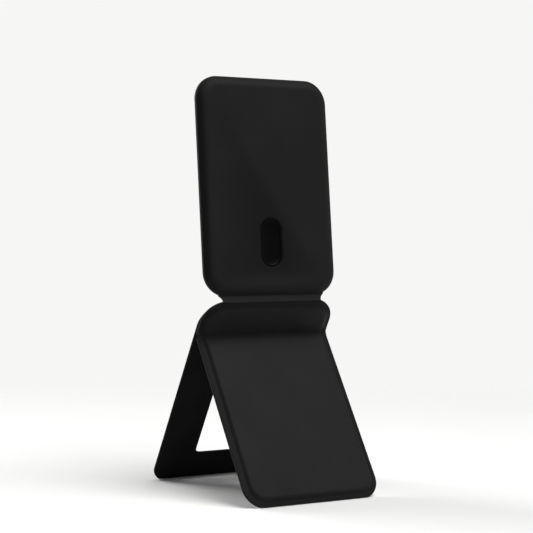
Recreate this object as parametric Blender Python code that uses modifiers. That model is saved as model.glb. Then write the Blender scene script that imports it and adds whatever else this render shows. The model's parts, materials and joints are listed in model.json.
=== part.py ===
"""Folding magnetic phone stand. A head plate with a ring of magnets tilts on a friction hinge at the
neck. Below the neck one plate runs down through the middle panel into the windowed rear leg, and a
solid front leg swings on a slim pin hinge behind the valley crease in the plate's front."""

import math

import bmesh
import bpy
from mathutils import Matrix, Vector

MM = 0.001
COLLECTION = "phone_stand"

# Panels. Lengths run along the panel, leans are from the vertical.
HALF_WIDTH = 31.0 * MM
FRONT_LEAN = math.radians(33.7)
REAR_LEAN = math.radians(31.85)
HEAD_LEAN = math.radians(5.6)
LEG_LENGTH = 77.1 * MM
MIDDLE_LENGTH = 16.1 * MM
HEAD_LENGTH = 93.0 * MM
NECK_GAP = 2.7 * MM
CORNER = 10.0 * MM
FRONT_FOOT_CORNER = 9.0 * MM
REAR_FOOT_CORNER = 6.5 * MM

# Laminate. A depth is measured back from the flange's front face, so the raised field is negative.
FIELD_DEPTH = -1.2 * MM
CAVITY_DEPTH = -0.8 * MM
GLUE = 0.05 * MM
FLANGE = 2.5 * MM
FIELD_RIM = 1.1 * MM
EDGE = FLANGE + 1.3 * MM
LEAST_CORNER = 1.2 * MM
EDGE_ROUND = 0.25 * MM
LEG_COVER_BACK = 0.8 * MM
LEG_BACK = 1.2 * MM
LINING_FRONT = 1.3 * MM
LINING_BACK = 1.65 * MM
CORE_FRONT = 1.7 * MM
CORE_BACK = 2.1 * MM
SKIN_FRONT = 2.15 * MM
PLATE_BACK = 2.5 * MM
HEAD_COVER_BACK = 1.6 * MM
CORE_INSET = 0.8 * MM

# Window in the rear leg
WINDOW_HALF = 13.85 * MM
WINDOW_TOP = -17.0 * MM
WINDOW_BOTTOM = -63.5 * MM
WINDOW_CORNER = 3.0 * MM

# Neck hinge: the axis lies just behind both back faces, so the head folds flat onto the plate's back
NECK_DEPTH = 2.65 * MM
NECK_BARREL = 1.3 * MM
NECK_PIN = 0.7 * MM
NECK_BORE = 0.78 * MM
SLEEVE_BORE = 1.0 * MM
RUNNING_FIT = 0.06 * MM
NECK_KNUCKLES = 7
NECK_HALF = 20.5 * MM
NECK_STRIP_HALF = 23.8 * MM
PIN_REACH = 0.9 * MM
CAP_HALF = 0.4 * MM
CAP_OFFSET = 0.45 * MM

# Valley hinge: a pin of spring wire inside the plate's thickness
VALLEY_DEPTH = 1.25 * MM
VALLEY_BARREL = 0.8 * MM
VALLEY_PIN = 0.4 * MM
VALLEY_BORE = 0.46 * MM
VALLEY_KNUCKLES = 9
VALLEY_HALF = 25.0 * MM
CREASE_HALF_GAP = 0.7 * MM
LEAF_FRONT = 0.45 * MM
LEAF_BACK = 0.75 * MM
LEAF_LOW = -11.5 * MM
KNUCKLE_GAP = 0.3 * MM
TAB_INSET = 0.01 * MM
SLOT_GAP = 0.4 * MM
SLOT_END = 0.7 * MM

# Magnets
RING_CENTRE = 62.0 * MM
RING_OUTER = 27.0 * MM
RING_INNER = 23.0 * MM
RING_MAGNETS = 18
MAGNET_GAP = math.radians(1.6)
POCKET_HALF = 5.0 * MM
POCKET_LOW = 14.2 * MM
POCKET_HIGH = 34.6 * MM
LATCH_RADIUS = 4.0 * MM
LATCH_X = 22.0 * MM
LATCH_Y = -66.0 * MM
CLEAR = 0.1 * MM
THROUGH = 1.0 * MM

MATERIALS = {
    "soft_touch_leather": ((0.021, 0.021, 0.023), 0.72, 0.0),
    "leather_lining": ((0.026, 0.026, 0.028), 0.85, 0.0),
    "spring_steel": ((0.30, 0.31, 0.33), 0.32, 1.0),
    "fibre_board": ((0.035, 0.032, 0.030), 0.80, 0.0),
    "carrier_plastic": ((0.030, 0.030, 0.032), 0.55, 0.0),
    "nickel_magnet": ((0.55, 0.54, 0.52), 0.25, 1.0),
    "insert_plastic": ((0.012, 0.012, 0.013), 0.35, 0.0),
}


def clear_scene():
    for obj in list(bpy.data.objects):
        bpy.data.objects.remove(obj, do_unlink=True)


def new_collection(name):
    made = bpy.data.collections.new(name)
    bpy.context.scene.collection.children.link(made)
    return made


clear_scene()
PARTS = new_collection(COLLECTION)
CUTTERS = new_collection("cutters")


def material(name):
    """The named Principled material, made on first use."""
    made = bpy.data.materials.get(name)
    if made is None:
        colour, roughness, metallic = MATERIALS[name]
        made = bpy.data.materials.new(name)
        made.use_nodes = True
        shader = made.node_tree.nodes["Principled BSDF"]
        shader.inputs["Base Color"].default_value = (*colour, 1.0)
        shader.inputs["Roughness"].default_value = roughness
        shader.inputs["Metallic"].default_value = metallic
    return made


def frame_empty(name, parent=None, place=(0, 0, 0), turn=0.0):
    """An empty that holds a panel: its Y runs up the panel and its Z out of the panel's front."""
    empty = bpy.data.objects.new(name, None)
    empty.empty_display_size = 5 * MM
    empty.location = place
    empty.rotation_euler = (turn, 0, 0)
    empty.parent = parent
    PARTS.objects.link(empty)
    return empty


def add_object(name, bm, parent, finish=None):
    """The mesh as a node with its own material, or as a hidden cutter when it has no finish."""
    bmesh.ops.recalc_face_normals(bm, faces=bm.faces)
    mesh = bpy.data.meshes.new(name)
    bm.to_mesh(mesh)
    bm.free()
    obj = bpy.data.objects.new(name, mesh)
    obj.parent = parent
    if finish:
        mesh.materials.append(material(finish))
        PARTS.objects.link(obj)
    else:
        obj.hide_render = True
        obj.display_type = "WIRE"
        CUTTERS.objects.link(obj)
    return obj


def boolean(obj, cutter, operation="DIFFERENCE"):
    modifier = obj.modifiers.new(cutter.name, "BOOLEAN")
    modifier.operation = operation
    modifier.object = cutter


def smooth(obj, angle=35):
    obj.data.shade_smooth()
    obj.data.set_sharp_from_angle(angle=math.radians(angle))


def slab(
    name, parent, finish, half, low, high, front, back, corners=(0, 0), rim=0.0, rim_steps=3, x=0.0
):
    """A flat plate between two heights and two depths. corners are the top and bottom corner radii,
    and rim rounds the edge of its front face."""
    bm = bmesh.new()
    bmesh.ops.create_cube(bm, size=1.0)
    size = Matrix.Diagonal((2 * half, high - low, back - front, 1))
    centre = Matrix.Translation((x, (low + high) / 2, -(front + back) / 2))
    bmesh.ops.transform(bm, matrix=centre @ size, verts=bm.verts)
    for radius, side in zip(corners, (high, low)):
        if radius:
            edges = [
                e for e in bm.edges
                if abs(e.verts[0].co.z - e.verts[1].co.z) > (back - front) / 2
                and abs(e.verts[0].co.y - side) < 0.01 * MM
            ]
            bmesh.ops.bevel(bm, geom=edges, offset=radius, segments=8, profile=0.5, affect="EDGES")
    if rim:
        edges = [e for e in bm.edges if all(abs(v.co.z + front) < 0.001 * MM for v in e.verts)]
        bmesh.ops.bevel(bm, geom=edges, offset=rim, segments=rim_steps, profile=0.5, affect="EDGES")
    return add_object(name, bm, parent, finish)


def cylinder(name, parent, finish, radius, low, high, along="Z", centre=(0, 0, 0), segments=24):
    """A cylinder from low to high along the parent's X or Z, with its axis through centre."""
    bm = bmesh.new()
    bmesh.ops.create_cone(
        bm, cap_ends=True, segments=segments, radius1=radius, radius2=radius, depth=high - low
    )
    turn = Matrix.Rotation(math.radians(90), 4, "Y") if along == "X" else Matrix.Identity(4)
    shift = Vector(((low + high) / 2, 0, 0)) if along == "X" else Vector((0, 0, (low + high) / 2))
    bmesh.ops.transform(bm, matrix=Matrix.Translation(Vector(centre) + shift) @ turn, verts=bm.verts)
    obj = add_object(name, bm, parent, finish)
    smooth(obj)
    return obj


def ring(name, parent, finish, outer, inner, low, high, place, along="Z", steps=48):
    """A turned ring: its rectangular section is carried round by a Screw modifier."""
    mesh = bpy.data.meshes.new(name)
    section = [(outer, 0, high), (outer, 0, low), (inner, 0, low), (inner, 0, high)]
    mesh.from_pydata(section, [(0, 1), (1, 2), (2, 3), (3, 0)], [])
    mesh.materials.append(material(finish))
    obj = bpy.data.objects.new(name, mesh)
    obj.parent = parent
    obj.location = place
    if along == "X":
        obj.rotation_euler = (0, math.radians(90), 0)
    screw = obj.modifiers.new("turn", "SCREW")
    screw.steps = steps
    screw.render_steps = steps
    screw.use_merge_vertices = True
    screw.merge_threshold = 0.00001
    PARTS.objects.link(obj)
    return obj


def knuckle_spans(count, half, mine):
    """The stretches of a barrel that belong to one leaf: every second knuckle, from `mine` on."""
    pitch = 2 * half / count
    gap = KNUCKLE_GAP / 2
    return [(-half + i * pitch + gap, -half + (i + 1) * pitch - gap) for i in range(mine, count, 2)]


def add_knuckles(plate, spans, axis, barrel, tab, bore, bore_half):
    """Rolls knuckles onto a plate: a tab and a barrel for each span, then the bore through all.
    axis is (height, depth) in the plate's frame, and tab is (low, high, front, back)."""
    height, depth = axis
    low, high, front, back = tab
    for i, (left, right) in enumerate(spans):
        middle, half = (left + right) / 2, (right - left) / 2
        name = f"{plate.name}_{int(height / MM)}_{i}"
        part = slab(name + "_tab", plate.parent, None, half, low, high, front, back, x=middle)
        boolean(plate, part, "UNION")
        roll = cylinder(
            name + "_roll", plate.parent, None, barrel, left, right, "X", (0, height, -depth)
        )
        boolean(plate, roll, "UNION")
    hole = cylinder(
        f"{plate.name}_{int(height / MM)}_bore", plate.parent, None, bore, -bore_half, bore_half, "X",
        (0, height, -depth),
    )
    boolean(plate, hole)


def bent_strip(name, parent, finish, half, outline, thickness):
    """A strip of leather folded along X: its outer line, thickened inwards."""
    mesh = bpy.data.meshes.new(name)
    columns = [-half, half]
    vertices = [(x, y, z) for x in columns for y, z in outline]
    n = len(outline)
    mesh.from_pydata(vertices, [], [(i, i + 1, i + 1 + n, i + n) for i in range(n - 1)])
    mesh.materials.append(material(finish))
    obj = bpy.data.objects.new(name, mesh)
    obj.parent = parent
    solid = obj.modifiers.new("thickness", "SOLIDIFY")
    solid.thickness = thickness
    solid.offset = -1
    solid.use_even_offset = True
    PARTS.objects.link(obj)
    return obj


# Frames. The plate hangs from the valley crease, and each moving panel hangs from its own axis.
VALLEY_FOLD = (FRONT_LEAN + REAR_LEAN) / 2
NECK_FOLD = (REAR_LEAN + HEAD_LEAN) / 2
VALLEY_RISE = VALLEY_DEPTH * math.tan(VALLEY_FOLD)
NECK_RISE = NECK_DEPTH * math.tan(NECK_FOLD)

valley = (0, 0, LEG_LENGTH * math.cos(FRONT_LEAN))
plate = frame_empty("plate_frame", None, valley, math.pi / 2 + REAR_LEAN)
valley_axis = frame_empty("valley_axis", plate, (0, -VALLEY_RISE, -VALLEY_DEPTH), -2 * VALLEY_FOLD)
leg = frame_empty("leg_frame", valley_axis, (0, -VALLEY_RISE, VALLEY_DEPTH))
neck_height = MIDDLE_LENGTH - NECK_RISE
neck_axis = frame_empty("neck_axis", plate, (0, neck_height, -NECK_DEPTH), -2 * NECK_FOLD)
head = frame_empty("head_frame", neck_axis, (0, -NECK_RISE, NECK_DEPTH))

# The table plane trims the feet flat
bm = bmesh.new()
bmesh.ops.create_cube(bm, size=0.2)
bmesh.ops.translate(bm, vec=(0, 0, -0.1), verts=bm.verts)
table = add_object("table_cutter", bm, None)


def cover(name, parent, low, high, back, corners, field_low, field_high):
    """A leather front cover: flat flange, raised field with a rounded shoulder, hollow behind."""
    made = slab(
        name, parent, "soft_touch_leather", HALF_WIDTH, low, high, 0, back, corners, EDGE_ROUND, 2
    )
    field_corners = [max(corner - FLANGE, LEAST_CORNER) for corner in corners]
    field = slab(
        name + "_field", parent, None, HALF_WIDTH - FLANGE, field_low, field_high,
        FIELD_DEPTH, back / 2, field_corners, FIELD_RIM,
    )
    boolean(made, field, "UNION")
    return made


def hollow(made, low, high, back, corners):
    """Opens the space for the board under a cover's raised field."""
    space = slab(
        made.name + "_space", made.parent, None, HALF_WIDTH - EDGE, low, high, CAVITY_DEPTH,
        back + THROUGH, corners,
    )
    boolean(made, space)


# Middle panel, above the valley crease
middle_cover = cover(
    "middle_front_cover", plate, CREASE_HALF_GAP, MIDDLE_LENGTH, LEG_BACK, (CORNER, 0), FLANGE,
    MIDDLE_LENGTH - FLANGE,
)
board_corner = CORNER - EDGE
hollow(middle_cover, EDGE, MIDDLE_LENGTH - EDGE, LEG_BACK, (board_corner, 1 * MM))
slab(
    "middle_board", plate, "fibre_board", HALF_WIDTH - EDGE - CLEAR, EDGE + CLEAR,
    MIDDLE_LENGTH - EDGE - CLEAR, CAVITY_DEPTH + CLEAR, LEG_BACK, (board_corner, 1 * MM),
)

# The plate: lining, steel core and back cover, all with the window, under the middle panel's cover
PLATE_TOP = MIDDLE_LENGTH - NECK_RISE - NECK_BARREL - 0.2 * MM
PLATE_LOW = -LEG_LENGTH
plate_corners = (CORNER, REAR_FOOT_CORNER)
SLOT_LOW = -VALLEY_RISE - VALLEY_BARREL - SLOT_GAP
SLOT_HIGH = -VALLEY_RISE + VALLEY_BARREL + SLOT_GAP
slot = slab(
    "valley_slot", plate, None, VALLEY_HALF + SLOT_END, SLOT_LOW, SLOT_HIGH, -2 * MM, SKIN_FRONT - GLUE
)


def window(grow):
    return slab(
        f"window_{round(grow / MM, 1)}", plate, None, WINDOW_HALF + grow, WINDOW_BOTTOM - grow,
        WINDOW_TOP + grow, 0, 4 * MM, (WINDOW_CORNER + grow, WINDOW_CORNER + grow),
    )


opening = window(0)
lining = slab(
    "plate_lining", plate, "leather_lining", HALF_WIDTH, PLATE_LOW, PLATE_TOP, LINING_FRONT, LINING_BACK,
    plate_corners,
)
back_cover = slab(
    "plate_back_cover", plate, "soft_touch_leather", HALF_WIDTH, PLATE_LOW, PLATE_TOP, SKIN_FRONT,
    PLATE_BACK, plate_corners,
)
for layer in (lining, back_cover):
    boolean(layer, opening)
    boolean(layer, table)
boolean(lining, slot)

core = slab(
    "plate_core", plate, "spring_steel", HALF_WIDTH - CORE_INSET, PLATE_LOW + 2 * CORE_INSET,
    PLATE_TOP - CLEAR, CORE_FRONT, CORE_BACK, plate_corners,
)
boolean(core, window(CORE_INSET))
boolean(core, slot)
add_knuckles(
    core, knuckle_spans(NECK_KNUCKLES, NECK_HALF, 0), (neck_height, NECK_DEPTH), NECK_BARREL,
    (PLATE_TOP - 2 * MM, neck_height, CORE_FRONT + TAB_INSET, CORE_BACK - TAB_INSET), NECK_BORE,
    NECK_HALF + THROUGH,
)
add_knuckles(
    core, knuckle_spans(VALLEY_KNUCKLES, VALLEY_HALF, 0), (-VALLEY_RISE, VALLEY_DEPTH), VALLEY_BARREL,
    (-VALLEY_RISE, SLOT_HIGH + 1 * MM, CORE_FRONT + TAB_INSET, 2.0 * MM), VALLEY_BORE,
    VALLEY_HALF + THROUGH,
)
cylinder(
    "valley_pin", plate, "spring_steel", VALLEY_PIN, -VALLEY_HALF - SLOT_GAP, VALLEY_HALF + SLOT_GAP,
    "X", (0, -VALLEY_RISE, -VALLEY_DEPTH), 16,
)

# Neck pin with a cap on each end, and the leather strip that covers the barrel in front
cylinder(
    "neck_pin", plate, "spring_steel", NECK_PIN, -NECK_HALF - PIN_REACH, NECK_HALF + PIN_REACH, "X",
    (0, neck_height, -NECK_DEPTH),
)
for side, name in ((-1, "neck_pin_cap_left"), (1, "neck_pin_cap_right")):
    ring(
        name, plate, "spring_steel", NECK_BARREL - CLEAR, NECK_PIN + RUNNING_FIT, -CAP_HALF, CAP_HALF,
        (side * (NECK_HALF + CAP_OFFSET), neck_height, -NECK_DEPTH), "X", 24,
    )

# Front leg: cover, board, hinge leaf with rivets, latch magnets and back cover
leg_top = -CREASE_HALF_GAP
leg_corners = (0, FRONT_FOOT_CORNER)
leg_cover = cover(
    "leg_front_cover", leg, -LEG_LENGTH, leg_top, LEG_COVER_BACK, leg_corners, -LEG_LENGTH + FLANGE,
    -FLANGE,
)
foot_corner = FRONT_FOOT_CORNER - EDGE
hollow(leg_cover, -LEG_LENGTH + EDGE, -EDGE, LEG_COVER_BACK, (1 * MM, foot_corner))
leaf_slot = slab(
    "leaf_slot", leg, None, VALLEY_HALF + 2 * CLEAR, -EDGE - THROUGH, THROUGH, LEAF_FRONT - CLEAR,
    LEG_COVER_BACK + THROUGH,
)
boolean(leg_cover, leaf_slot)
boolean(leg_cover, table)

board = slab(
    "leg_board", leg, "fibre_board", HALF_WIDTH - EDGE - CLEAR, -LEG_LENGTH + EDGE + CLEAR, -EDGE - CLEAR,
    CAVITY_DEPTH + CLEAR, LEAF_BACK, (1 * MM, foot_corner),
)
leaf_bed = slab(
    "leaf_bed", leg, None, VALLEY_HALF + 2 * CLEAR, LEAF_LOW - CLEAR, THROUGH, LEAF_FRONT - CLEAR, 2 * MM,
)
boolean(board, leaf_bed)
leaf = slab(
    "leg_hinge_leaf", leg, "spring_steel", VALLEY_HALF, LEAF_LOW, leg_top, LEAF_FRONT, LEAF_BACK,
    (0, 2 * MM),
)
add_knuckles(
    leaf, knuckle_spans(VALLEY_KNUCKLES, VALLEY_HALF, 1), (VALLEY_RISE, VALLEY_DEPTH), VALLEY_BARREL,
    (leg_top - 1 * MM, VALLEY_RISE, LEAF_FRONT + TAB_INSET, LEAF_BACK - TAB_INSET), VALLEY_BORE,
    VALLEY_HALF + THROUGH,
)


def rivet(name, finish, x, y, grow):
    """A turned rivet: a low head towards the front and a shank through board and leaf."""
    profile = [
        (0, 0.6 * MM + grow),
        (1.5 * MM + grow, 0.6 * MM + grow),
        (1.5 * MM + grow, 0.25 * MM - grow),
        (0.8 * MM + grow, 0.25 * MM - grow),
        (0.8 * MM + grow, -0.76 * MM - grow),
        (0, -0.76 * MM - grow),
    ]
    bm = bmesh.new()
    points = [bm.verts.new((r, 0, z)) for r, z in profile]
    edges = [bm.edges.new(pair) for pair in zip(points, points[1:])]
    bmesh.ops.spin(
        bm, geom=points + edges, cent=(0, 0, 0), axis=(0, 0, 1), angle=2 * math.pi, steps=16,
        use_merge=True, use_duplicate=False,
    )
    bmesh.ops.remove_doubles(bm, verts=bm.verts, dist=0.001 * MM)
    bmesh.ops.translate(bm, vec=(x, y, 0), verts=bm.verts)
    return add_object(name, bm, leg, finish)


for i, x in enumerate((-18 * MM, 0, 18 * MM)):
    rivet(f"leg_rivet_{i + 1}", "spring_steel", x, -8 * MM, 0)
    hole = rivet(f"rivet_hole_{i + 1}", None, x, -8 * MM, 0.05 * MM)
    boolean(board, hole)
    boolean(leaf, hole)

for side, name in ((-1, "latch_magnet_left"), (1, "latch_magnet_right")):
    place = (side * LATCH_X, LATCH_Y, 0)
    cylinder(name, leg, "nickel_magnet", LATCH_RADIUS, -0.7 * MM, 0.2 * MM, "Z", place)
    seat = cylinder(name + "_seat", leg, None, LATCH_RADIUS + CLEAR, -2 * MM, 0.3 * MM, "Z", place)
    boolean(board, seat)

leg_back = slab(
    "leg_back_cover", leg, "soft_touch_leather", HALF_WIDTH, -LEG_LENGTH, leg_top,
    LEG_COVER_BACK + GLUE, LEG_BACK, leg_corners,
)
boolean(leg_back, table)

# Head: cover with the alignment pocket, carrier with the magnet ring, stiffener, hinge plate, back
head_corners = (CORNER, CORNER)
head_low = NECK_GAP
head_cover = cover(
    "head_front_cover", head, head_low, HEAD_LENGTH, HEAD_COVER_BACK, head_corners,
    head_low + FLANGE, HEAD_LENGTH - FLANGE,
)
head_board = (head_low + EDGE, HEAD_LENGTH - EDGE)
hollow(head_cover, *head_board, HEAD_COVER_BACK, (board_corner, board_corner))


def pocket(name, finish, front, back, grow):
    return slab(
        name, head, finish, POCKET_HALF + grow, POCKET_LOW - grow, POCKET_HIGH + grow, front, back,
        (POCKET_HALF + grow - 0.01 * MM,) * 2,
    )


boolean(head_cover, pocket("pocket_hole", None, -3 * MM, 1 * MM, 0))
CARRIER_BACK = 0.95 * MM
carrier = slab(
    "head_carrier", head, "carrier_plastic", HALF_WIDTH - EDGE - CLEAR, head_board[0] + CLEAR,
    head_board[1] - CLEAR, CAVITY_DEPTH + CLEAR, CARRIER_BACK, (board_corner, board_corner),
)
boolean(carrier, pocket("carrier_pocket", None, -3 * MM, 3 * MM, 0))
ring_place = (0, RING_CENTRE, 0)
channel_outer = cylinder(
    "channel_outer", head, None, RING_OUTER + CLEAR, -2 * MM, 0.3 * MM, "Z", ring_place, 64
)
channel_inner = cylinder(
    "channel_inner", head, None, RING_INNER - CLEAR, -3 * MM, 1 * MM, "Z", ring_place, 64
)
boolean(channel_outer, channel_inner)
boolean(carrier, channel_outer)
ring(
    "magnet_shield_ring", head, "spring_steel", RING_OUTER, RING_INNER, -0.9 * MM, -0.55 * MM, ring_place,
    "Z", 64,
)


def arc_magnet(name, middle, sweep):
    """One segment of the magnet ring: its rectangular section swept round by bmesh spin."""
    bm = bmesh.new()
    low, high = -0.5 * MM, 0.2 * MM
    section = [(RING_INNER, low), (RING_OUTER, low), (RING_OUTER, high), (RING_INNER, high)]
    turn = Matrix.Rotation(middle - sweep / 2, 4, "Z")
    face = bm.faces.new([bm.verts.new(turn @ Vector((r, 0, z))) for r, z in section])
    bmesh.ops.spin(
        bm, geom=[face, *face.edges, *face.verts], cent=(0, 0, 0), axis=(0, 0, 1), angle=sweep, steps=4,
        use_merge=False, use_duplicate=False,
    )
    bmesh.ops.translate(bm, vec=ring_place, verts=bm.verts)
    return add_object(name, bm, head, "nickel_magnet")


step = 2 * math.pi / RING_MAGNETS
for i in range(RING_MAGNETS):
    arc_magnet(f"ring_magnet_{i + 1:02d}", (i + 0.5) * step, step - MAGNET_GAP)

insert = pocket("alignment_insert", "insert_plastic", FIELD_DEPTH + 0.25 * MM, CARRIER_BACK, -CLEAR)
scoop = slab(
    "insert_scoop", head, None, POCKET_HALF - 0.9 * MM, POCKET_LOW + 0.9 * MM, POCKET_HIGH - 0.9 * MM,
    -2.5 * MM, 0.45 * MM, (POCKET_HALF - 0.92 * MM,) * 2,
)
boolean(insert, scoop)

stiffener = slab(
    "head_stiffener", head, "fibre_board", HALF_WIDTH - EDGE - CLEAR, head_board[0] + CLEAR,
    head_board[1] - CLEAR, CARRIER_BACK + GLUE, HEAD_COVER_BACK, (board_corner, board_corner),
)
magnet_half = 3.0 * MM
magnet_seat = slab(
    "alignment_seat", head, None, magnet_half + CLEAR, POCKET_LOW + 2 * MM, POCKET_HIGH - 2 * MM,
    1.05 * MM, 3 * MM,
)
boolean(stiffener, magnet_seat)
slab(
    "alignment_magnet", head, "nickel_magnet", magnet_half, POCKET_LOW + 2 * MM + CLEAR,
    POCKET_HIGH - 2 * MM - CLEAR, 1.1 * MM, 1.6 * MM,
)

head_plate = slab(
    "head_hinge_plate", head, "spring_steel", HALF_WIDTH - CORE_INSET, head_low + CLEAR,
    HEAD_LENGTH - CORE_INSET, CORE_FRONT, CORE_BACK, (CORNER - CORE_INSET,) * 2,
)
head_spans = knuckle_spans(NECK_KNUCKLES, NECK_HALF, 1)
add_knuckles(
    head_plate, head_spans, (NECK_RISE, NECK_DEPTH), NECK_BARREL,
    (NECK_RISE, head_low + 2 * MM, CORE_FRONT + TAB_INSET, CORE_BACK - TAB_INSET), NECK_BORE,
    NECK_HALF + THROUGH,
)
sleeves = ("torque_sleeve_left", head_spans[0]), ("torque_sleeve_right", head_spans[-1])
for name, (left, right) in sleeves:
    seat = cylinder(
        name + "_seat", head, None, SLEEVE_BORE, left - KNUCKLE_GAP / 2, right + KNUCKLE_GAP / 2, "X",
        (0, NECK_RISE, -NECK_DEPTH),
    )
    boolean(head_plate, seat)
    half = (right - left) / 2
    ring(
        name, head, "spring_steel", SLEEVE_BORE - RUNNING_FIT, NECK_BORE, -half, half,
        ((left + right) / 2, NECK_RISE, -NECK_DEPTH), "X", 24,
    )
slab(
    "head_back_cover", head, "soft_touch_leather", HALF_WIDTH, head_low, HEAD_LENGTH, SKIN_FRONT,
    PLATE_BACK, head_corners,
)

# Leather strips across the two folds
SKIN = 0.35 * MM
crease_reach = CREASE_HALF_GAP - 0.08 * MM
fold = 2 * VALLEY_FOLD
crease_line = [
    (crease_reach, 0),
    (0, 0),
    (-crease_reach * math.cos(fold), crease_reach * math.sin(fold)),
]
bent_strip("crease_strip", plate, "soft_touch_leather", HALF_WIDTH - 0.4 * MM, crease_line, SKIN)


def on_plate(height, depth):
    """A point of the head's frame, as (y, z) in the plate's frame."""
    turn = Matrix.Rotation(-2 * NECK_FOLD, 3, "X")
    point = turn @ Vector((0, height, -depth)) + Vector((0, MIDDLE_LENGTH, 0))
    return point.y, point.z


strip_line = [
    (MIDDLE_LENGTH + 0.08 * MM, 0),
    on_plate(NECK_GAP - 0.3 * MM, 1.05 * MM),
]
bent_strip("neck_strip", plate, "soft_touch_leather", NECK_STRIP_HALF, strip_line, SKIN)
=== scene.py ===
"""Looks of a folding magnetic phone stand: heat-pressed leather covers, hinge strips, a blackened
steel core with its hinges, boards and magnets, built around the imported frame."""

import json
import math

import bmesh
import bpy
from mathutils import Matrix, Vector


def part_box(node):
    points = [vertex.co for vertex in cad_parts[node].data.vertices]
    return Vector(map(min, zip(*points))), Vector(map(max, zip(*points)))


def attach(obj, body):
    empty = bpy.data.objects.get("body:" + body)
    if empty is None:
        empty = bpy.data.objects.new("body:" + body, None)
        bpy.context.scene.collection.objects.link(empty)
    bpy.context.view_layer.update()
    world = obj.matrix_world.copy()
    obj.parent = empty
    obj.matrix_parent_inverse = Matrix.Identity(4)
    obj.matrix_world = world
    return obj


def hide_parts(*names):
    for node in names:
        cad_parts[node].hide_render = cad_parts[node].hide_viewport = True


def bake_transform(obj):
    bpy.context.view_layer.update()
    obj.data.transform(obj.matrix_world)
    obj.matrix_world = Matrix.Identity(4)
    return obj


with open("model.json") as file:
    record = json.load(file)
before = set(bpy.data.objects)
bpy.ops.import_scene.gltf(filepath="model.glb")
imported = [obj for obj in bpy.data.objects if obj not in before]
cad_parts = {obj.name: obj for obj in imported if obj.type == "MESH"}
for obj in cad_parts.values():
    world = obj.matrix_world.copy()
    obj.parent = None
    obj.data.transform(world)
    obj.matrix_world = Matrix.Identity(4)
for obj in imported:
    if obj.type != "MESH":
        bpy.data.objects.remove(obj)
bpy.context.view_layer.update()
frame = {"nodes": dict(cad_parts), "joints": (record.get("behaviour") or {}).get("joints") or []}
MM = 0.001

# Camera: level with the neck, well to the stand's left, through a long lens.
camera_data = bpy.data.cameras.new("camera")
camera_data.lens = 104.9
camera_data.clip_start = 0.01
camera = bpy.data.objects.new("camera", camera_data)
camera.location = (-0.325, -0.558, 0.106)
camera.rotation_euler = (math.radians(88.77), 0, math.radians(-30.355))
bpy.context.scene.collection.objects.link(camera)
bpy.context.scene.camera = camera

# Studio: a large soft box high in front, turned down on the stand, a very weak one low on the right
# and one behind, in a dim room with a pale backdrop that lights nothing itself. Each soft box is given
# as its place, the point it faces, its size and its power.
SOFT_BOXES = {
    "soft_box_above": ((0.20, -0.47, 1.05), (0, 0, 0.06), 0.8, 12.2),
    "soft_box_right": ((0.95, -0.30, 0.30), (0, 0, 0.08), 0.5, 0.5),
    "soft_box_behind": ((-0.45, 0.90, 0.55), (0, 0, 0.08), 0.6, 8.0),
}
for name, (place, target, size, power) in SOFT_BOXES.items():
    light_data = bpy.data.lights.new(name, "AREA")
    light_data.shape = "SQUARE"
    light_data.size = size
    light_data.energy = power
    light = bpy.data.objects.new(name, light_data)
    light.location = place
    light.rotation_euler = (Vector(target) - Vector(place)).to_track_quat("-Z", "Y").to_euler()
    light.visible_camera = False
    bpy.context.scene.collection.objects.link(light)
bpy.context.scene.view_settings.view_transform = "Standard"


def srgb(code):
    """A hex colour as the linear numbers that a shader takes."""
    channels = [int(code[i : i + 2], 16) / 255 for i in (1, 3, 5)]
    linear = [c / 12.92 if c <= 0.04045 else ((c + 0.055) / 1.055) ** 2.4 for c in channels]
    return (*linear, 1.0)


def add(tree, kind, inputs=(), **settings):
    """Adds a shader node with its settings. An input is a number, a colour or another node's output."""
    made = tree.nodes.new(kind)
    for name, value in settings.items():
        setattr(made, name, value)
    for name, value in dict(inputs).items():
        if isinstance(value, bpy.types.NodeSocket):
            tree.links.new(value, made.inputs[name])
        else:
            made.inputs[name].default_value = value
    return made


BACKDROP = "#f6f6f5"
ROOM_LIGHT = 0.20
world = bpy.data.worlds.new("pale_studio")
world.use_nodes = True
tree = world.node_tree
seen = add(tree, "ShaderNodeLightPath").outputs["Is Camera Ray"]
room = add(tree, "ShaderNodeMix", {"Factor": seen}, data_type="RGBA")
room.inputs[6].default_value = (ROOM_LIGHT, ROOM_LIGHT, ROOM_LIGHT, 1)
room.inputs[7].default_value = srgb(BACKDROP)
tree.links.new(room.outputs[2], tree.nodes["Background"].inputs["Color"])
bpy.context.scene.world = world


def new_material(name):
    """An empty Principled material, as (material, node tree, shader)."""
    made = bpy.data.materials.new(name)
    made.use_nodes = True
    return made, made.node_tree, made.node_tree.nodes["Principled BSDF"]


def spread(tree, value, low, high, begin=0.3, end=0.7):
    """A number that runs from low to high as the value runs from begin to end."""
    return add(
        tree, "ShaderNodeMapRange",
        {"Value": value, "From Min": begin, "From Max": end, "To Min": low, "To Max": high},
    ).outputs["Result"]


def tinted(tree, factor, first, second):
    """A colour between two hex colours."""
    mix = add(tree, "ShaderNodeMix", {"Factor": factor}, data_type="RGBA")
    mix.inputs[6].default_value = srgb(first)
    mix.inputs[7].default_value = srgb(second)
    return mix.outputs[2]


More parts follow.
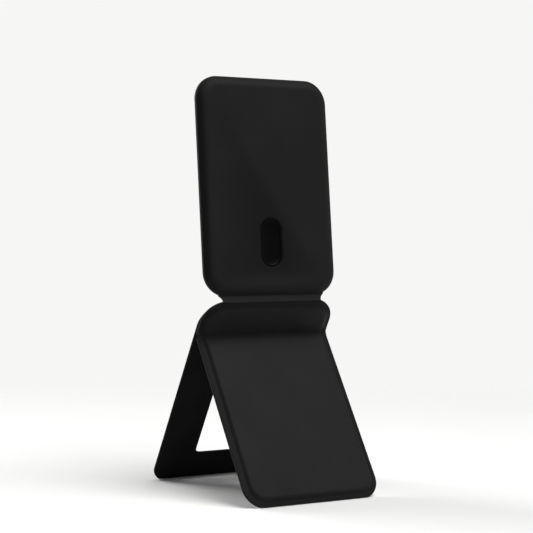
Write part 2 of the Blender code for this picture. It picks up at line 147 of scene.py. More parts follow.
# Table: pale matt laminate with the faintest mottling, which fades into the backdrop all round. It lies
# just under the stand's feet.
TABLE_FULL = 0.16
TABLE_END = 0.50
TABLE_DROP = 0.2 * MM
table_laminate, tree, shader = new_material("pale_matt_laminate")
place = add(tree, "ShaderNodeTexCoord").outputs["Object"]
mottle = add(tree, "ShaderNodeTexNoise", {"Vector": place, "Scale": 14.0, "Detail": 3.0})
tree.links.new(tinted(tree, mottle.outputs["Fac"], "#f0f0ef", "#f7f7f6"), shader.inputs["Base Color"])
shader.inputs["Roughness"].default_value = 0.85
shader.inputs["Specular IOR Level"].default_value = 0.2
reach = add(tree, "ShaderNodeVectorMath", {0: place}, operation="LENGTH").outputs["Value"]
cover = add(
    tree, "ShaderNodeMapRange",
    {"Value": reach, "From Min": TABLE_FULL, "From Max": TABLE_END, "To Min": 1.0, "To Max": 0.0},
    interpolation_type="SMOOTHSTEP",
)
tree.links.new(cover.outputs["Result"], shader.inputs["Alpha"])
bpy.ops.object.select_all(action="DESELECT")
bpy.ops.mesh.primitive_plane_add(size=2 * TABLE_END, location=(0, 0, -TABLE_DROP))
floor = bpy.context.object
floor.name = "table_top"
floor.data.materials.append(table_laminate)


def dress(material, *nodes):
    """Gives CAD nodes that keep their shape a finished material."""
    for node in nodes:
        piece = bpy.data.objects[node]
        piece.data.materials.clear()
        piece.data.materials.append(material)


# Steel core, head plate and leg leaf with their rolled knuckles, the magnets' shield and the torque
# sleeves: stamped spring steel, oil-blackened. It shows a dark grey sheen with fine rolling lines, drawn
# coarser than real ones so that they show.
ROLLING_LINE = 0.35 * MM
black_steel, tree, shader = new_material("oil_blackened_spring_steel")
place = add(tree, "ShaderNodeTexCoord").outputs["Object"]
along = add(tree, "ShaderNodeMapping", {"Vector": place, "Scale": (0.06, 1, 1)}).outputs["Vector"]
lines = add(tree, "ShaderNodeTexNoise", {"Vector": along, "Scale": 1 / ROLLING_LINE, "Detail": 3.0})
stain = add(tree, "ShaderNodeTexNoise", {"Vector": place, "Scale": 180.0, "Detail": 5.0})
tree.links.new(tinted(tree, stain.outputs["Fac"], "#2c2d30", "#403e3c"), shader.inputs["Base Color"])
tree.links.new(spread(tree, lines.outputs["Fac"], 0.34, 0.50), shader.inputs["Roughness"])
scratch = add(
    tree, "ShaderNodeBump", {"Height": lines.outputs["Fac"], "Distance": 0.006 * MM, "Strength": 0.5}
)
tree.links.new(scratch.outputs["Normal"], shader.inputs["Normal"])
shader.inputs["Metallic"].default_value = 1.0
dress(
    black_steel, "plate_core", "head_hinge_plate", "leg_hinge_leaf",
    "magnet_shield_ring", "torque_sleeve_left", "torque_sleeve_right",
)

# Pins, pin caps and rivets: turned from bright bar and chemically blacked, so they are smoother than
# the sheet and carry turning rings rather than rolling lines.
TURNING_RING = 0.12 * MM
turned_steel, tree, shader = new_material("blacked_turned_steel")
place = add(tree, "ShaderNodeTexCoord").outputs["Object"]
rings = add(
    tree, "ShaderNodeTexWave", {"Vector": place, "Scale": 1 / (6.3 * TURNING_RING), "Distortion": 1.5},
    wave_type="BANDS", bands_direction="X",
)
wear = add(tree, "ShaderNodeTexNoise", {"Vector": place, "Scale": 900.0, "Detail": 3.0})
tree.links.new(tinted(tree, wear.outputs["Fac"], "#26272a", "#3b3a39"), shader.inputs["Base Color"])
tree.links.new(spread(tree, wear.outputs["Fac"], 0.24, 0.40), shader.inputs["Roughness"])
groove = add(
    tree, "ShaderNodeBump", {"Height": rings.outputs["Fac"], "Distance": 0.004 * MM, "Strength": 0.4}
)
tree.links.new(groove.outputs["Normal"], shader.inputs["Normal"])
shader.inputs["Metallic"].default_value = 1.0
dress(
    turned_steel, "neck_pin", "neck_pin_cap_left", "neck_pin_cap_right", "valley_pin",
    "leg_rivet_1", "leg_rivet_2", "leg_rivet_3",
)

# Stiffening boards in the middle panel, the front leg and the head: dense pressed fibre board, dyed
# charcoal through, with short paler fibres on its faces.
FIBRE = 0.9 * MM
fibre_board, tree, shader = new_material("dyed_fibre_board")
place = add(tree, "ShaderNodeTexCoord").outputs["Object"]
drawn = add(tree, "ShaderNodeMapping", {"Vector": place, "Scale": (0.25, 1, 1)}).outputs["Vector"]
fibres = add(
    tree, "ShaderNodeTexNoise", {"Vector": drawn, "Scale": 1 / FIBRE, "Detail": 6.0, "Distortion": 2.0}
)
tree.links.new(
    tinted(tree, spread(tree, fibres.outputs["Fac"], 0, 1, 0.45, 0.75), "#232120", "#4a4641"),
    shader.inputs["Base Color"],
)
nap = add(
    tree, "ShaderNodeBump", {"Height": fibres.outputs["Fac"], "Distance": 0.03 * MM, "Strength": 0.6}
)
tree.links.new(nap.outputs["Normal"], shader.inputs["Normal"])
shader.inputs["Roughness"].default_value = 0.88
dress(fibre_board, "middle_board", "leg_board", "head_stiffener")

# Magnet carrier: injection-moulded black ABS from a spark-eroded tool, satin with a fine even pitting.
# It holds the ring magnets and the alignment magnet inside the head.
PITTING = 0.12 * MM
moulded_abs, tree, shader = new_material("spark_textured_abs")
place = add(tree, "ShaderNodeTexCoord").outputs["Object"]
pits = add(tree, "ShaderNodeTexNoise", {"Vector": place, "Scale": 1 / PITTING, "Detail": 2.0})
flow = add(tree, "ShaderNodeTexNoise", {"Vector": place, "Scale": 40.0, "Detail": 2.0})
tree.links.new(tinted(tree, flow.outputs["Fac"], "#17171a", "#202022"), shader.inputs["Base Color"])
tree.links.new(spread(tree, pits.outputs["Fac"], 0.45, 0.60), shader.inputs["Roughness"])
pitted = add(
    tree, "ShaderNodeBump", {"Height": pits.outputs["Fac"], "Distance": 0.01 * MM, "Strength": 0.5}
)
tree.links.new(pitted.outputs["Normal"], shader.inputs["Normal"])
dress(moulded_abs, "head_carrier")

# Magnets: sintered neodymium in a nickel plating, bright and very slightly orange-peeled, with the
# warm grey that nickel has beside steel.
nickel, tree, shader = new_material("nickel_plating")
place = add(tree, "ShaderNodeTexCoord").outputs["Object"]
peel = add(tree, "ShaderNodeTexNoise", {"Vector": place, "Scale": 1100.0, "Detail": 2.0})
dulled = add(tree, "ShaderNodeTexNoise", {"Vector": place, "Scale": 160.0, "Detail": 4.0})
tree.links.new(tinted(tree, dulled.outputs["Fac"], "#b3b0a8", "#c9c6be"), shader.inputs["Base Color"])
tree.links.new(spread(tree, dulled.outputs["Fac"], 0.16, 0.32), shader.inputs["Roughness"])
plated = add(
    tree, "ShaderNodeBump", {"Height": peel.outputs["Fac"], "Distance": 0.005 * MM, "Strength": 0.4}
)
tree.links.new(plated.outputs["Normal"], shader.inputs["Normal"])
shader.inputs["Metallic"].default_value = 1.0
dress(
    nickel, "alignment_magnet", "latch_magnet_left", "latch_magnet_right",
    *[node for node in frame["nodes"] if node.startswith("ring_magnet_")],
)

# Plate lining: the smooth side of a split microfibre, glued to the core's front and turned to the
# table, with the window and the valley hinge's slot cut through it. It is matt, with a faint
# nap that is drawn coarser than a real one so that it shows.
NAP = 0.18 * MM
microfibre, tree, shader = new_material("black_microfibre_lining")
place = add(tree, "ShaderNodeTexCoord").outputs["Object"]
nap = add(tree, "ShaderNodeTexNoise", {"Vector": place, "Scale": 1 / NAP, "Detail": 4.0})
strokes = add(tree, "ShaderNodeTexNoise", {"Vector": place, "Scale": 70.0, "Detail": 4.0})
tree.links.new(
    tinted(tree, spread(tree, strokes.outputs["Fac"], 0, 1), "#111112", "#19191a"),
    shader.inputs["Base Color"],
)
tree.links.new(spread(tree, strokes.outputs["Fac"], 0.84, 0.96), shader.inputs["Roughness"])
tuft = add(
    tree, "ShaderNodeBump", {"Height": nap.outputs["Fac"], "Distance": 0.03 * MM, "Strength": 0.6}
)
tree.links.new(tuft.outputs["Normal"], shader.inputs["Normal"])
shader.inputs["Specular IOR Level"].default_value = 0.08

PLATE_LEAN = math.radians(31.85)
LEG_LEAN = math.radians(33.7)
VALLEY_DEPTH = 1.25 * MM
hinge = {joint["name"]: Vector(joint["pos_m"]) for joint in frame["joints"]}
valley_rise = VALLEY_DEPTH * math.tan((PLATE_LEAN + LEG_LEAN) / 2)


def panel_frame(axis, turn, rise, depth):
    """The place of a panel that is modelled lying flat, with X along the hinges, Y up the panel and Z
    out of its front: stood up and turned to its lean about its own hinge's axis."""
    tilt = Matrix.Rotation(math.pi / 2 + turn, 4, "X")
    return Matrix.Translation(axis) @ tilt @ Matrix.Translation((0, rise, depth))


def only(piece):
    """Makes the piece the one selected, active object."""
    bpy.ops.object.select_all(action="DESELECT")
    piece.select_set(True)
    bpy.context.view_layer.objects.active = piece


def pick(piece, kind, test):
    """In edit mode, selects just the verts, edges or faces whose every corner passes the test."""
    bpy.ops.mesh.select_mode(type={"verts": "VERT", "edges": "EDGE", "faces": "FACE"}[kind])
    bpy.ops.mesh.select_all(action="DESELECT")
    mesh = bmesh.from_edit_mesh(piece.data)
    for element in getattr(mesh, kind):
        corners = [element] if kind == "verts" else element.verts
        element.select_set(all(test(corner.co) for corner in corners))
    mesh.select_flush_mode()
    bmesh.update_edit_mesh(piece.data)


CORNER_STEPS = 16
NEAR = 0.01 * MM
WELD = 0.02 * MM
ON_CUT = 1e-7


def blank(name, half, low, high, top_corner, foot_corner, level):
    """A flat blank with rounded corners at one level, in edit mode with its one face selected."""
    bpy.ops.object.select_all(action="DESELECT")
    bpy.ops.mesh.primitive_plane_add(size=1, location=(0, (low + high) / 2, level))
    piece = bpy.context.object
    piece.name = name
    piece.scale = (2 * half, high - low, 1)
    bpy.ops.object.transform_apply(location=True, rotation=True, scale=True)
    bpy.ops.object.mode_set(mode="EDIT")
    for side, radius in ((high, top_corner), (low, foot_corner)):
        if radius:
            pick(piece, "verts", lambda co: abs(co.y - side) < NEAR)
            bpy.ops.mesh.bevel(offset=radius, segments=CORNER_STEPS, affect="VERTICES")
    bpy.ops.mesh.select_all(action="SELECT")
    bpy.ops.mesh.remove_doubles(threshold=WELD)
    pick(piece, "faces", lambda co: True)
    return piece


def press(*steps):
    """Insets the selected face once for each (inwards, upwards) step, as a die shapes a skin."""
    for inwards, upwards in steps:
        bpy.ops.mesh.inset(thickness=inwards, depth=upwards, use_even_offset=True)


def raise_face(height):
    """Extrudes the selected face straight up."""
    bpy.ops.mesh.extrude_region_move(TRANSFORM_OT_translate={"value": (0, 0, height)})


def rounding(radius, count=4):
    """Press steps that round an edge over a quarter circle."""
    angles = [math.pi / 2 * i / count for i in range(count + 1)]
    return [
        (radius * (math.cos(a) - math.cos(b)), radius * (math.sin(b) - math.sin(a)))
        for a, b in zip(angles, angles[1:])
    ]


def turn_outwards():
    """Turns all faces outwards and goes back to object mode."""
    bpy.ops.mesh.select_all(action="SELECT")
    bpy.ops.mesh.normals_make_consistent(inside=False)
    bpy.ops.object.mode_set(mode="OBJECT")


def close():
    """Fills the open outline and turns all faces outwards, back in object mode."""
    bpy.ops.mesh.select_mode(type="EDGE")
    bpy.ops.mesh.select_all(action="DESELECT")
    bpy.ops.mesh.select_non_manifold(extend=False)
    bpy.ops.mesh.edge_face_add()
    turn_outwards()


def modify(piece, kind, **settings):
    """Adds a modifier and applies it."""
    only(piece)
    modifier = piece.modifiers.new(kind.lower(), kind)
    for name, value in settings.items():
        setattr(modifier, name, value)
    bpy.ops.object.modifier_apply(modifier=modifier.name)


def cut_through(piece, cutter):
    """Takes the cutter's shape out of the piece."""
    modify(piece, "BOOLEAN", operation="DIFFERENCE", object=cutter, solver="EXACT")
    bpy.data.objects.remove(cutter)


def block(half, low, high, corner, bottom, top):
    """A cutter with rounded corners, between two levels."""
    made = blank("cutter", half, low, high, corner, corner, bottom)
    raise_face(top - bottom)
    close()
    return made


HALF_WIDTH = 31.0 * MM
EDGE_PAINT = 0.15 * MM
CREASING_INSET = 1.6 * MM
CREASING_WIDTH = 0.2 * MM
CREASING_DEPTH = 0.09 * MM
INNER_RING = 0.6 * MM


def flat_skin(name, low, high, front, back, top_corner, foot_corner, round_edge):
    """A flat cover between two depths, with its outer edge rounded on one side: its front, or its
    back when round_edge is BACK, which also has a creasing line run round it."""
    piece = blank(name, HALF_WIDTH, low, high, top_corner, foot_corner, 0)
    raise_face(back - front - EDGE_PAINT)
    press(*rounding(EDGE_PAINT, 3), (CREASING_INSET, 0))
    if round_edge == "BACK":
        press(
            (CREASING_WIDTH, -CREASING_DEPTH), (CREASING_WIDTH, 0), (CREASING_WIDTH, CREASING_DEPTH),
            (INNER_RING, 0),
        )
    close()
    only(piece)
    if round_edge == "BACK":
        piece.scale = (1, 1, -1)
    piece.location = (0, 0, -front if round_edge == "BACK" else -back)
    bpy.ops.object.transform_apply(location=True, rotation=True, scale=True)
    if round_edge == "BACK":
        bpy.ops.object.mode_set(mode="EDIT")
        turn_outwards()
    return piece


SMOOTH_BELOW = math.radians(35)


def stand_up(piece, place, material, body=None, trimmed=False):
    """Sets a finished piece in its panel's place, keeps that place in its mesh, and dresses it. A
    trimmed piece is cut off flush with the table."""
    only(piece)
    piece.matrix_world = place
    bpy.ops.object.transform_apply(location=True, rotation=True, scale=True)
    if trimmed:
        bpy.ops.object.mode_set(mode="EDIT")
        bpy.ops.mesh.select_all(action="SELECT")
        bpy.ops.mesh.bisect(
            plane_co=(0, 0, 0), plane_no=(0, 0, 1), clear_inner=True, use_fill=True, threshold=ON_CUT
        )
        bpy.ops.object.mode_set(mode="OBJECT")
    bpy.ops.object.shade_smooth_by_angle(angle=SMOOTH_BELOW)
    piece.data.materials.clear()
    piece.data.materials.append(material)
    if body:
        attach(piece, body)


ON_PLATE = panel_frame(hinge["leg_fold"], PLATE_LEAN, valley_rise, VALLEY_DEPTH)
lining_low, lining_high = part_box("plate_lining")
plate_top = (ON_PLATE.inverted() @ Vector((0, lining_low[1], lining_high[2]))).y
LEG_LENGTH = 77.1 * MM
CORNER = 10.0 * MM
REAR_FOOT_CORNER = 6.5 * MM
LINING_FRONT = 1.3 * MM
LINING_BACK = 1.65 * MM
THROUGH = (-6 * MM, 1 * MM)
WINDOW_HALF = 13.85 * MM
WINDOW_TOP = -17.0 * MM
WINDOW_BOTTOM = -63.5 * MM
WINDOW_CORNER = 3.0 * MM
SLOT_HALF = 25.7 * MM
SLOT_REACH = 1.2 * MM
SLOT_CORNER = 0.4 * MM
lining = flat_skin(
    "plate_lining_skin", -LEG_LENGTH, plate_top, LINING_FRONT, LINING_BACK, CORNER, REAR_FOOT_CORNER,
    "FRONT",
)
cut_through(lining, block(WINDOW_HALF, WINDOW_BOTTOM, WINDOW_TOP, WINDOW_CORNER, *THROUGH))
cut_through(
    lining,
    block(SLOT_HALF, -valley_rise - SLOT_REACH, -valley_rise + SLOT_REACH, SLOT_CORNER, *THROUGH),
)
stand_up(lining, ON_PLATE, microfibre, "plate", trimmed=True)
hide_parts("plate_lining")

# Plate back cover: one flat piece of the cover leather over the plate's whole back, with the window
# punched through it. The leather is polyurethane on a woven backing, embossed with a fine pebble and
# finished soft-touch matt. Its grain is flatter where it has been hot-pressed, and its colour is
# darkened there too, which is painted shade on the sunken borders of the front covers.
PEBBLE = 0.55 * MM
soft_touch, tree, shader = new_material("soft_touch_pu_leather")
place = add(tree, "ShaderNodeTexCoord").outputs["Object"]
warp = add(tree, "ShaderNodeTexNoise", {"Vector": place, "Scale": 0.5 / PEBBLE, "Detail": 2.0})
bent = add(
    tree, "ShaderNodeVectorMath", {0: warp.outputs["Color"], 1: (0.3 * PEBBLE,) * 3, 2: place},
    operation="MULTIPLY_ADD",
)
pebble = add(
    tree, "ShaderNodeTexVoronoi", {"Vector": bent.outputs["Vector"], "Scale": 1 / PEBBLE},
    feature="SMOOTH_F1",
)
pores = add(tree, "ShaderNodeTexNoise", {"Vector": place, "Scale": 4 / PEBBLE, "Detail": 4.0})
clouds = add(tree, "ShaderNodeTexNoise", {"Vector": place, "Scale": 55.0, "Detail": 5.0})
relief = add(
    tree, "ShaderNodeMath", {0: pores.outputs["Fac"], 1: -0.35, 2: pebble.outputs["Distance"]},
    operation="MULTIPLY_ADD",
)
pressed = add(tree, "ShaderNodeAttribute", attribute_name="pressed").outputs["Fac"]
grain = add(
    tree, "ShaderNodeBump",
    {
        "Height": relief.outputs["Value"],
        "Distance": 0.03 * MM,
        "Strength": spread(tree, pressed, 0.45, 0.18, 0, 1),
    },
    invert=True,
)
dyed = tinted(tree, spread(tree, clouds.outputs["Fac"], 0, 1), "#111112", "#161617")
# Painted shade: the colour is darkened by the pressed attribute, so the sunken borders look shaded.
painted_border_shade = add(tree, "ShaderNodeMix", {"Factor": pressed}, data_type="RGBA", blend_type="MULTIPLY")
tree.links.new(dyed, painted_border_shade.inputs[6])
painted_border_shade.inputs[7].default_value = srgb("#8c8c8c")
tree.links.new(painted_border_shade.outputs[2], shader.inputs["Base Color"])
tree.links.new(spread(tree, pores.outputs["Fac"], 0.60, 0.72), shader.inputs["Roughness"])
tree.links.new(grain.outputs["Normal"], shader.inputs["Normal"])
shader.inputs["Specular IOR Level"].default_value = 0.16
shader.inputs["Sheen Weight"].default_value = 0.04
shader.inputs["Sheen Roughness"].default_value = 0.45
BACK_SKIN = 2.15 * MM
BACK_FACE = 2.5 * MM
plate_back = flat_skin(
    "plate_back_skin", -LEG_LENGTH, plate_top, BACK_SKIN, BACK_FACE, CORNER, REAR_FOOT_CORNER, "BACK"
)
cut_through(plate_back, block(WINDOW_HALF, WINDOW_BOTTOM, WINDOW_TOP, WINDOW_CORNER, *THROUGH))
stand_up(plate_back, ON_PLATE, soft_touch, "plate", trimmed=True)
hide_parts("plate_back_cover")

# Middle panel's cover: the same leather, hot-pressed to a thin flange round its edge and a soft
# shoulder up to the field over the board. Towards the valley the field sinks to the hinge strip
# under it, so that the front looks folded there rather than cut.
EDGE_ROUND = 0.35 * MM
FIELD_LEVEL = 1.2 * MM
FIELD_RING = 1.0 * MM
PRESSED_LEVEL = 0.3 * MM
RAISED_LEVEL = 1.1 * MM
SKIN = 0.4 * MM
SINK_CUTS = 12
SINK_CURVE = 1.6
SUNK = 0.42


def slope(run, rise, share, count):
    """Press steps up a slope whose rise follows share(0..1)."""
    levels = [share(i / count) for i in range(count + 1)]
    return [(run / count, rise * (b - a)) for a, b in zip(levels, levels[1:])]


def flange_and_shoulder(flange, edge_level, flange_level, shoulder, count):
    """Press steps of a flange and of the soft shoulder from it up to the field."""
    return [
        (flange - EDGE_ROUND, flange_level - edge_level),
        *slope(shoulder, FIELD_LEVEL - flange_level, lambda u: (1 - math.cos(math.pi * u)) / 2, count),
    ]


def mark_pressed(piece):
    """Records how hard each point was pressed: fully on the flange, not at all on the field. The
    leather flattens its grain by it, and darkens its colour by it as painted shade on the borders.
    """
    attribute = piece.data.attributes.new("pressed", "FLOAT", "POINT")
    for vertex in piece.data.vertices:
        share = (vertex.co.z - PRESSED_LEVEL) / (RAISED_LEVEL - PRESSED_LEVEL)
        attribute.data[vertex.index].value = 1 - min(max(share, 0), 1)


def cut_across(start, run):
    """In edit mode, cuts a cover off at start and scores it across, evenly over the run."""
    for i in range(SINK_CUTS + 1):
        bpy.ops.mesh.select_all(action="SELECT")
        bpy.ops.mesh.bisect(
            plane_co=(0, start + run * i / SINK_CUTS, 0), plane_no=(0, math.copysign(1, run), 0),
            clear_inner=i == 0, threshold=ON_CUT,
        )


def sink_field(piece, start, run):
    """Lowers every point above level 0, most at start and not at all past the run."""
    for vertex in piece.data.vertices:
        share = min(max((vertex.co.y - start) / run, 0), 1)
        if vertex.co.z > 0:
            vertex.co.z *= SUNK + (1 - SUNK) * (1 - (1 - share) ** SINK_CURVE)


def pressed_cover(name, low, high, depth, corners, edge_level, *border, sink=0):
    """A pressed front cover: a wall, a rounded edge, then its border, thickened inwards to a skin.
    With sink, the field sinks over that length to the crease, where the cover is cut off: at its
    low end, or at its high end when sink is negative. The blank starts beyond that cut, so that no
    border is left along it."""
    crease = high if sink < 0 else low
    ends = sorted((low, high, crease - 2 * sink))
    piece = blank(name, HALF_WIDTH, ends[0], ends[-1], *corners, -depth)
    raise_face(depth - EDGE_ROUND + edge_level)
    press(*rounding(EDGE_ROUND), *border, (FIELD_RING, 0))
    if sink:
        cut_across(crease, sink)
    bpy.ops.object.mode_set(mode="OBJECT")
    mark_pressed(piece)
    if sink:
        sink_field(piece, crease, sink)
    modify(piece, "SOLIDIFY", thickness=SKIN, offset=-1, use_even_offset=True)
    return piece


MIDDLE_LENGTH = 16.1 * MM
MIDDLE_TOP_GAP = 0.1 * MM
MIDDLE_DEPTH = 1.2 * MM
MIDDLE_EDGE = -0.03 * MM
MIDDLE_FLANGE = 1.1 * MM
MIDDLE_FLANGE_LEVEL = 0.01 * MM
MIDDLE_SHOULDER = 2.9 * MM
MIDDLE_SINK = 6.6 * MM
VALLEY_GAP = 0.75 * MM
middle_border = flange_and_shoulder(
    MIDDLE_FLANGE, MIDDLE_EDGE, MIDDLE_FLANGE_LEVEL, MIDDLE_SHOULDER, 14
)
middle = pressed_cover(
    "middle_front_skin", VALLEY_GAP, MIDDLE_LENGTH - MIDDLE_TOP_GAP, MIDDLE_DEPTH, (CORNER, 0),
    MIDDLE_EDGE, *middle_border, sink=MIDDLE_SINK,
)
stand_up(middle, ON_PLATE, soft_touch, "plate")
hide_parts("middle_front_cover")

# Front leg covers: a pressed front, whose wider flange falls away a little towards the trimmed edge and
# whose field sinks to the crease at its top, and a flat back glued to it. Both end at the table.
ON_LEG = panel_frame(hinge["leg_fold"], -LEG_LEAN, -valley_rise, VALLEY_DEPTH)
FRONT_FOOT_CORNER = 9.0 * MM
LEG_FRONT_DEPTH = 0.8 * MM
LEG_BACK_SKIN = 0.85 * MM
LEG_BACK_FACE = 1.2 * MM
LEG_SINK = 5.0 * MM
CREASE_GAP = 0.7 * MM
EDGE_LEVEL = -0.2 * MM
FLANGE = 1.9 * MM
FLANGE_LEVEL = 0.15 * MM
SHOULDER = 2.1 * MM
leg_border = flange_and_shoulder(FLANGE, EDGE_LEVEL, FLANGE_LEVEL, SHOULDER, 12)
leg_front = pressed_cover(
    "leg_front_skin", -LEG_LENGTH, -VALLEY_GAP, LEG_FRONT_DEPTH, (0, FRONT_FOOT_CORNER), EDGE_LEVEL,
    *leg_border, sink=-LEG_SINK,
)
stand_up(leg_front, ON_LEG, soft_touch, "front_leg", trimmed=True)
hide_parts("leg_front_cover")
leg_back = flat_skin(
    "leg_back_skin", -LEG_LENGTH, -CREASE_GAP, LEG_BACK_SKIN, LEG_BACK_FACE, 0, FRONT_FOOT_CORNER,
    "BACK",
)
stand_up(leg_back, ON_LEG, soft_touch, "front_leg", trimmed=True)
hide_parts("leg_back_cover")

# Head covers: the phone lies against the pressed front, where a pill-shaped opening with a rolled
# lip shows the alignment insert. The back is flat, and its edge is turned forwards over the steel
# plate's edge to the front cover, except at the hinge knuckles.
HEAD_LEAN = math.radians(5.6)
NECK_DEPTH = 2.65 * MM
neck_rise = NECK_DEPTH * math.tan((PLATE_LEAN + HEAD_LEAN) / 2)
ON_HEAD = panel_frame(hinge["neck_tilt"], -HEAD_LEAN, -neck_rise, NECK_DEPTH)
HEAD_LENGTH = 93.0 * MM
NECK_GAP = 2.7 * MM
HEAD_FRONT_DEPTH = 1.6 * MM
TURNED_EDGE = 0.35 * MM
TURNED_FRONT = 1.63 * MM
KNUCKLES_HALF = 24.5 * MM
KNUCKLES_REACH = 1 * MM
KNUCKLES_CORNER = 0.1 * MM
POCKET_HALF = 5.0 * MM
POCKET_LOW = 14.2 * MM
POCKET_HIGH = 34.6 * MM
PILLOW_RUN = 4.2 * MM
PILLOW_EDGE = -0.75 * MM
head_front = pressed_cover(
    "head_front_skin", NECK_GAP, HEAD_LENGTH, HEAD_FRONT_DEPTH, (CORNER, CORNER), PILLOW_EDGE,
    *slope(PILLOW_RUN, FIELD_LEVEL - PILLOW_EDGE, lambda u: 1 - (1 - u) ** 2.2, 16),
)
LIP = 0.38 * MM
BELOW_LIP = 2 * MM
ABOVE_LIP = 1 * MM
SHORT_OF_ROUND = 0.001 * MM
opening_half = POCKET_HALF + LIP
opening_corner = opening_half - SHORT_OF_ROUND
opening = blank(
    "cutter", opening_half, POCKET_LOW - LIP, POCKET_HIGH + LIP, opening_corner, opening_corner, 0
)
press(*[(step[1], step[0]) for step in rounding(LIP, 6)[::-1]])
raise_face(BELOW_LIP)
close()
only(opening)
opening.scale = (1, 1, -1)
opening.location = (0, 0, FIELD_LEVEL)
bpy.ops.object.transform_apply(location=True, rotation=True, scale=True)
bpy.ops.object.mode_set(mode="EDIT")
pick(opening, "faces", lambda co: abs(co.z - FIELD_LEVEL) < 0.1 * NEAR)
raise_face(ABOVE_LIP)
turn_outwards()
cut_through(head_front, opening)
stand_up(head_front, ON_HEAD, soft_touch, "head")
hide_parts("head_front_cover")
head_back = flat_skin(
    "head_back_skin", NECK_GAP, HEAD_LENGTH, TURNED_FRONT, BACK_FACE, CORNER, CORNER, "BACK"
)
cut_through(
    head_back,
    block(
        HALF_WIDTH - TURNED_EDGE, NECK_GAP + TURNED_EDGE, HEAD_LENGTH - TURNED_EDGE,
        CORNER - TURNED_EDGE, -BACK_SKIN, THROUGH[1],
    ),
)
knuckles = block(
    KNUCKLES_HALF, 0, NECK_GAP + KNUCKLES_REACH, KNUCKLES_CORNER, -BACK_SKIN, THROUGH[1]
)
cut_through(head_back, knuckles)
stand_up(head_back, ON_HEAD, soft_touch, "head")
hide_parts("head_back_cover")

# Alignment insert: a dished pill of satin black polycarbonate, clipped into the carrier below the
# opening. It is smoother than the leather and catches hardly any light. Its near-black colour is partly
# the plastic's own black and partly painted shade of the deep pocket.
satin_pc_and_pocket_shade, tree, shader = new_material("satin_black_polycarbonate")
place = add(tree, "ShaderNodeTexCoord").outputs["Object"]
haze = add(tree, "ShaderNodeTexNoise", {"Vector": place, "Scale": 220.0, "Detail": 3.0})
fine = add(tree, "ShaderNodeTexNoise", {"Vector": place, "Scale": 9000.0, "Detail": 2.0})
# Partly painted shade: this near-black base colour stands in for the pocket's shade as well as the
# plastic's black.
tree.links.new(tinted(tree, haze.outputs["Fac"], "#030303", "#060607"), shader.inputs["Base Color"])
tree.links.new(spread(tree, haze.outputs["Fac"], 0.42, 0.52), shader.inputs["Roughness"])
satin = add(
    tree, "ShaderNodeBump", {"Height": fine.outputs["Fac"], "Distance": 0.004 * MM, "Strength": 0.3}
)
tree.links.new(satin.outputs["Normal"], shader.inputs["Normal"])
shader.inputs["Specular IOR Level"].default_value = 0.06
INSERT_GAP = 0.1 * MM
INSERT_TOP = 0.7 * MM
INSERT_BACK = -0.95 * MM
INSERT_EDGE = 0.1 * MM
DISH_RIM = 0.55 * MM
DISH_FLOOR = 0.3 * MM
DISH_DEPTH = 0.7 * MM
DISH_STEPS = 12
insert_half = POCKET_HALF - INSERT_GAP
insert_corner = insert_half - SHORT_OF_ROUND
insert = blank(
    "alignment_dish", insert_half, POCKET_LOW + INSERT_GAP, POCKET_HIGH - INSERT_GAP,
    insert_corner, insert_corner, INSERT_BACK,
)
raise_face(INSERT_TOP - INSERT_BACK - INSERT_EDGE)
press(*rounding(INSERT_EDGE, 2), (DISH_RIM, 0))
dish_run = insert_half - DISH_RIM - DISH_FLOOR
turns = [math.pi / 2 * i / DISH_STEPS for i in range(DISH_STEPS + 1)]
press(*[
    (dish_run * (math.cos(a) - math.cos(b)), -DISH_DEPTH * (math.sin(b) - math.sin(a)))
    for a, b in zip(turns, turns[1:])
])
close()
stand_up(insert, ON_HEAD, satin_pc_and_pocket_shade, "head")
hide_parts("alignment_insert")

# Neck strip: a hinge of the same leather, tucked under the middle panel's top edge and under the
# head's lower edge. It rises backwards over the barrel in one soft bend, and widens towards
# the head.
STRIP = 0.35 * MM
NECK_STRIP_HALF = 23.3 * MM
NECK_FLARE = 1.9 * MM
STRIP_COLUMNS = 60
RIDGE_INSET = 0.02 * MM
RIDGE_TUCK = (-0.05 * MM, -0.4 * MM)
HEAD_TUCK = 0.12 * MM
HEAD_TUCK_END = 1.0 * MM
HEAD_TUCK_LEVEL = -0.95 * MM
CROWN_RISE = 0.16 * MM


def folded_strip(name, line, half_at, fall_at):
    """A strip of leather laid over a line of (height, level) points and thickened inwards. half_at
    gives its half width along the line, and fall_at how far it drops at a place across it."""
    bpy.ops.object.select_all(action="DESELECT")
    bpy.ops.mesh.primitive_grid_add(x_subdivisions=STRIP_COLUMNS, y_subdivisions=len(line) - 1, size=2)
    piece = bpy.context.object
    piece.name = name
    last = len(line) - 1
    for vertex in piece.data.vertices:
        row = round((vertex.co.y + 1) / 2 * last)
        tangent = (line[min(row + 1, last)] - line[max(row - 1, 0)]).normalized()
        outwards = Vector((-tangent.y, tangent.x))
        x = math.sin(vertex.co.x * math.pi / 2) * half_at(row / last)
        height, level = line[row] - fall_at(abs(x)) * outwards
        vertex.co = (x, height, level)
    modify(piece, "SOLIDIFY", thickness=STRIP, offset=-1, use_even_offset=True)
    return piece


def bend_line(start, control, end, count):
    """Points of one soft bend from start to end."""
    shares = [i / count for i in range(count + 1)]
    return [(1 - t) ** 2 * start + 2 * t * (1 - t) * control + t**2 * end for t in shares]


def seen_from_plate(place, height, level):
    """A point of another panel's frame as (height, level) in the plate's."""
    point = ON_PLATE.inverted() @ place @ Vector((0, height, level))
    return Vector((point.y, point.z))


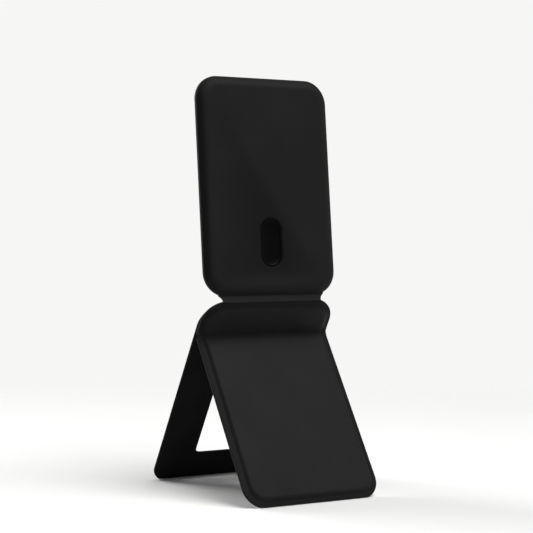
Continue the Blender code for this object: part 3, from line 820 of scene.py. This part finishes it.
ridge = Vector((MIDDLE_LENGTH - RIDGE_INSET, -RIDGE_INSET))
under_head = seen_from_plate(ON_HEAD, NECK_GAP + HEAD_TUCK, HEAD_TUCK_LEVEL)
crown = (ridge + under_head) / 2 + Vector((0, CROWN_RISE))
neck_line = [
    ridge + Vector(RIDGE_TUCK),
    *bend_line(ridge, crown, under_head, 16),
    seen_from_plate(ON_HEAD, NECK_GAP + HEAD_TUCK_END, HEAD_TUCK_LEVEL),
]
neck_skin = folded_strip(
    "neck_skin", neck_line, lambda share: NECK_STRIP_HALF + NECK_FLARE * share**3, lambda x: 0
)
stand_up(neck_skin, ON_PLATE, soft_touch)
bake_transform(neck_skin)
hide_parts("neck_strip")

# Valley strip: the same leather laid under the sunken edges of the middle panel's and the front
# leg's covers, so that the front reads as one folded skin. Its ends fall with the flanges.
STRIP_LEVEL = 0.42 * MM
STRIP_FALL = 0.38 * MM
STRIP_INSET = 0.01 * MM
BEND_REACH = 1.05 * MM
STRIP_REACH = 1.6 * BEND_REACH


def valley_fall(x):
    """How far the strip falls at a point: by the shoulder's slope, then round the trimmed edge."""
    inset = HALF_WIDTH - x
    shoulder = min(max((inset - FLANGE) / SHOULDER, 0), 1)
    rounded = max(0, EDGE_ROUND - inset)
    fall = STRIP_FALL * (1 + math.cos(math.pi * shoulder)) / 2
    return fall + EDGE_ROUND - math.sqrt(EDGE_ROUND**2 - rounded**2)


bend_start = seen_from_plate(ON_LEG, -BEND_REACH, STRIP_LEVEL)
bend_corner = Vector((STRIP_LEVEL * math.tan((PLATE_LEAN + LEG_LEAN) / 2), STRIP_LEVEL))
valley_line = [
    seen_from_plate(ON_LEG, -STRIP_REACH, STRIP_LEVEL),
    *bend_line(bend_start, bend_corner, Vector((BEND_REACH, STRIP_LEVEL)), 12),
    Vector((STRIP_REACH, STRIP_LEVEL)),
]
crease_skin = folded_strip(
    "crease_skin", valley_line, lambda share: HALF_WIDTH - STRIP_INSET, valley_fall
)
stand_up(crease_skin, ON_PLATE, soft_touch)
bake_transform(crease_skin)
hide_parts("crease_strip")
